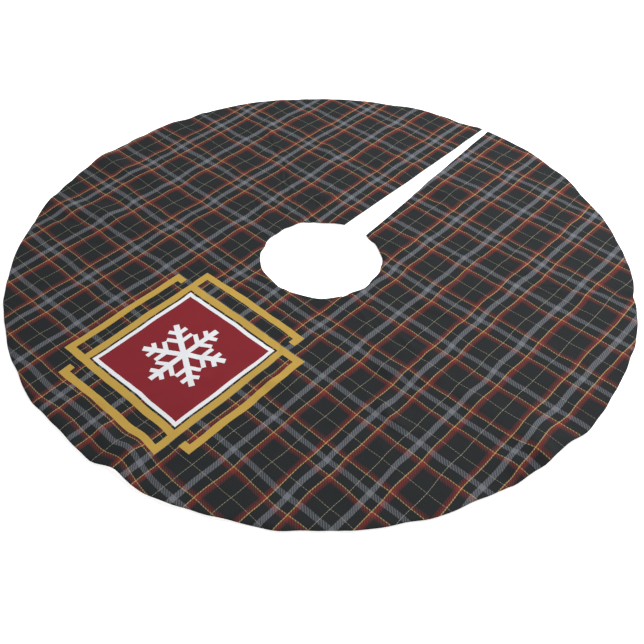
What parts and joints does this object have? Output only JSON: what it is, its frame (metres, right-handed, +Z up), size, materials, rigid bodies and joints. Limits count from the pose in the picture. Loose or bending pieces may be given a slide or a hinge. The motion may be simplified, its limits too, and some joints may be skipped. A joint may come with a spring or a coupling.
{
  "type": "tree skirt",
  "caption": "Round lined fabric tree skirt with a trunk hole, one slit and two flaps that fold open beside it.",
  "frame": {"origin": "middle of the trunk hole, on the floor that the skirt lies on", "axes": "+Z up, +Y from the hole along the slit, and -Y towards the printed square"},
  "size_m": [1.1176, 1.1176, 0.0139],
  "materials": {
    "printed_face": "brushed polyester printed with a charcoal tartan, with red, grey, yellow and cream lines",
    "lining": "plain white polyester lining",
    "tape": "woven off-white facing tape",
    "thread": "spun polyester sewing thread"
  },
  "bodies": {
    "skirt_main": {"face_main": "printed_face", "lining_main": "lining", "neck_tape_main": "tape", "rim_tape_main": "tape", "neck_stitching_main": "thread", "rim_stitching_main": "thread"},
    "left_flap": {"face_left_flap": "printed_face", "lining_left_flap": "lining", "neck_tape_left_flap": "tape", "rim_tape_left_flap": "tape", "slit_tape_left": "tape", "neck_stitching_left_flap": "thread", "rim_stitching_left_flap": "thread", "slit_stitching_left": "thread"},
    "right_flap": {"face_right_flap": "printed_face", "lining_right_flap": "lining", "neck_tape_right_flap": "tape", "rim_tape_right_flap": "tape", "slit_tape_right": "tape", "neck_stitching_right_flap": "thread", "rim_stitching_right_flap": "thread", "slit_stitching_right": "thread"}
  },
  "joints": [
    {"name": "left_flap_fold", "type": "hinge", "parent": "skirt_main", "child": "left_flap", "pos_m": [-0.28579, 0.165, 0.0019], "axis": [0.866, -0.5, 0], "range_deg": [0, 150]},
    {"name": "right_flap_fold", "type": "hinge", "parent": "skirt_main", "child": "right_flap", "pos_m": [0.28579, 0.165, 0.0019], "axis": [0.866, 0.5, 0], "range_deg": [0, 150]}
  ]
}
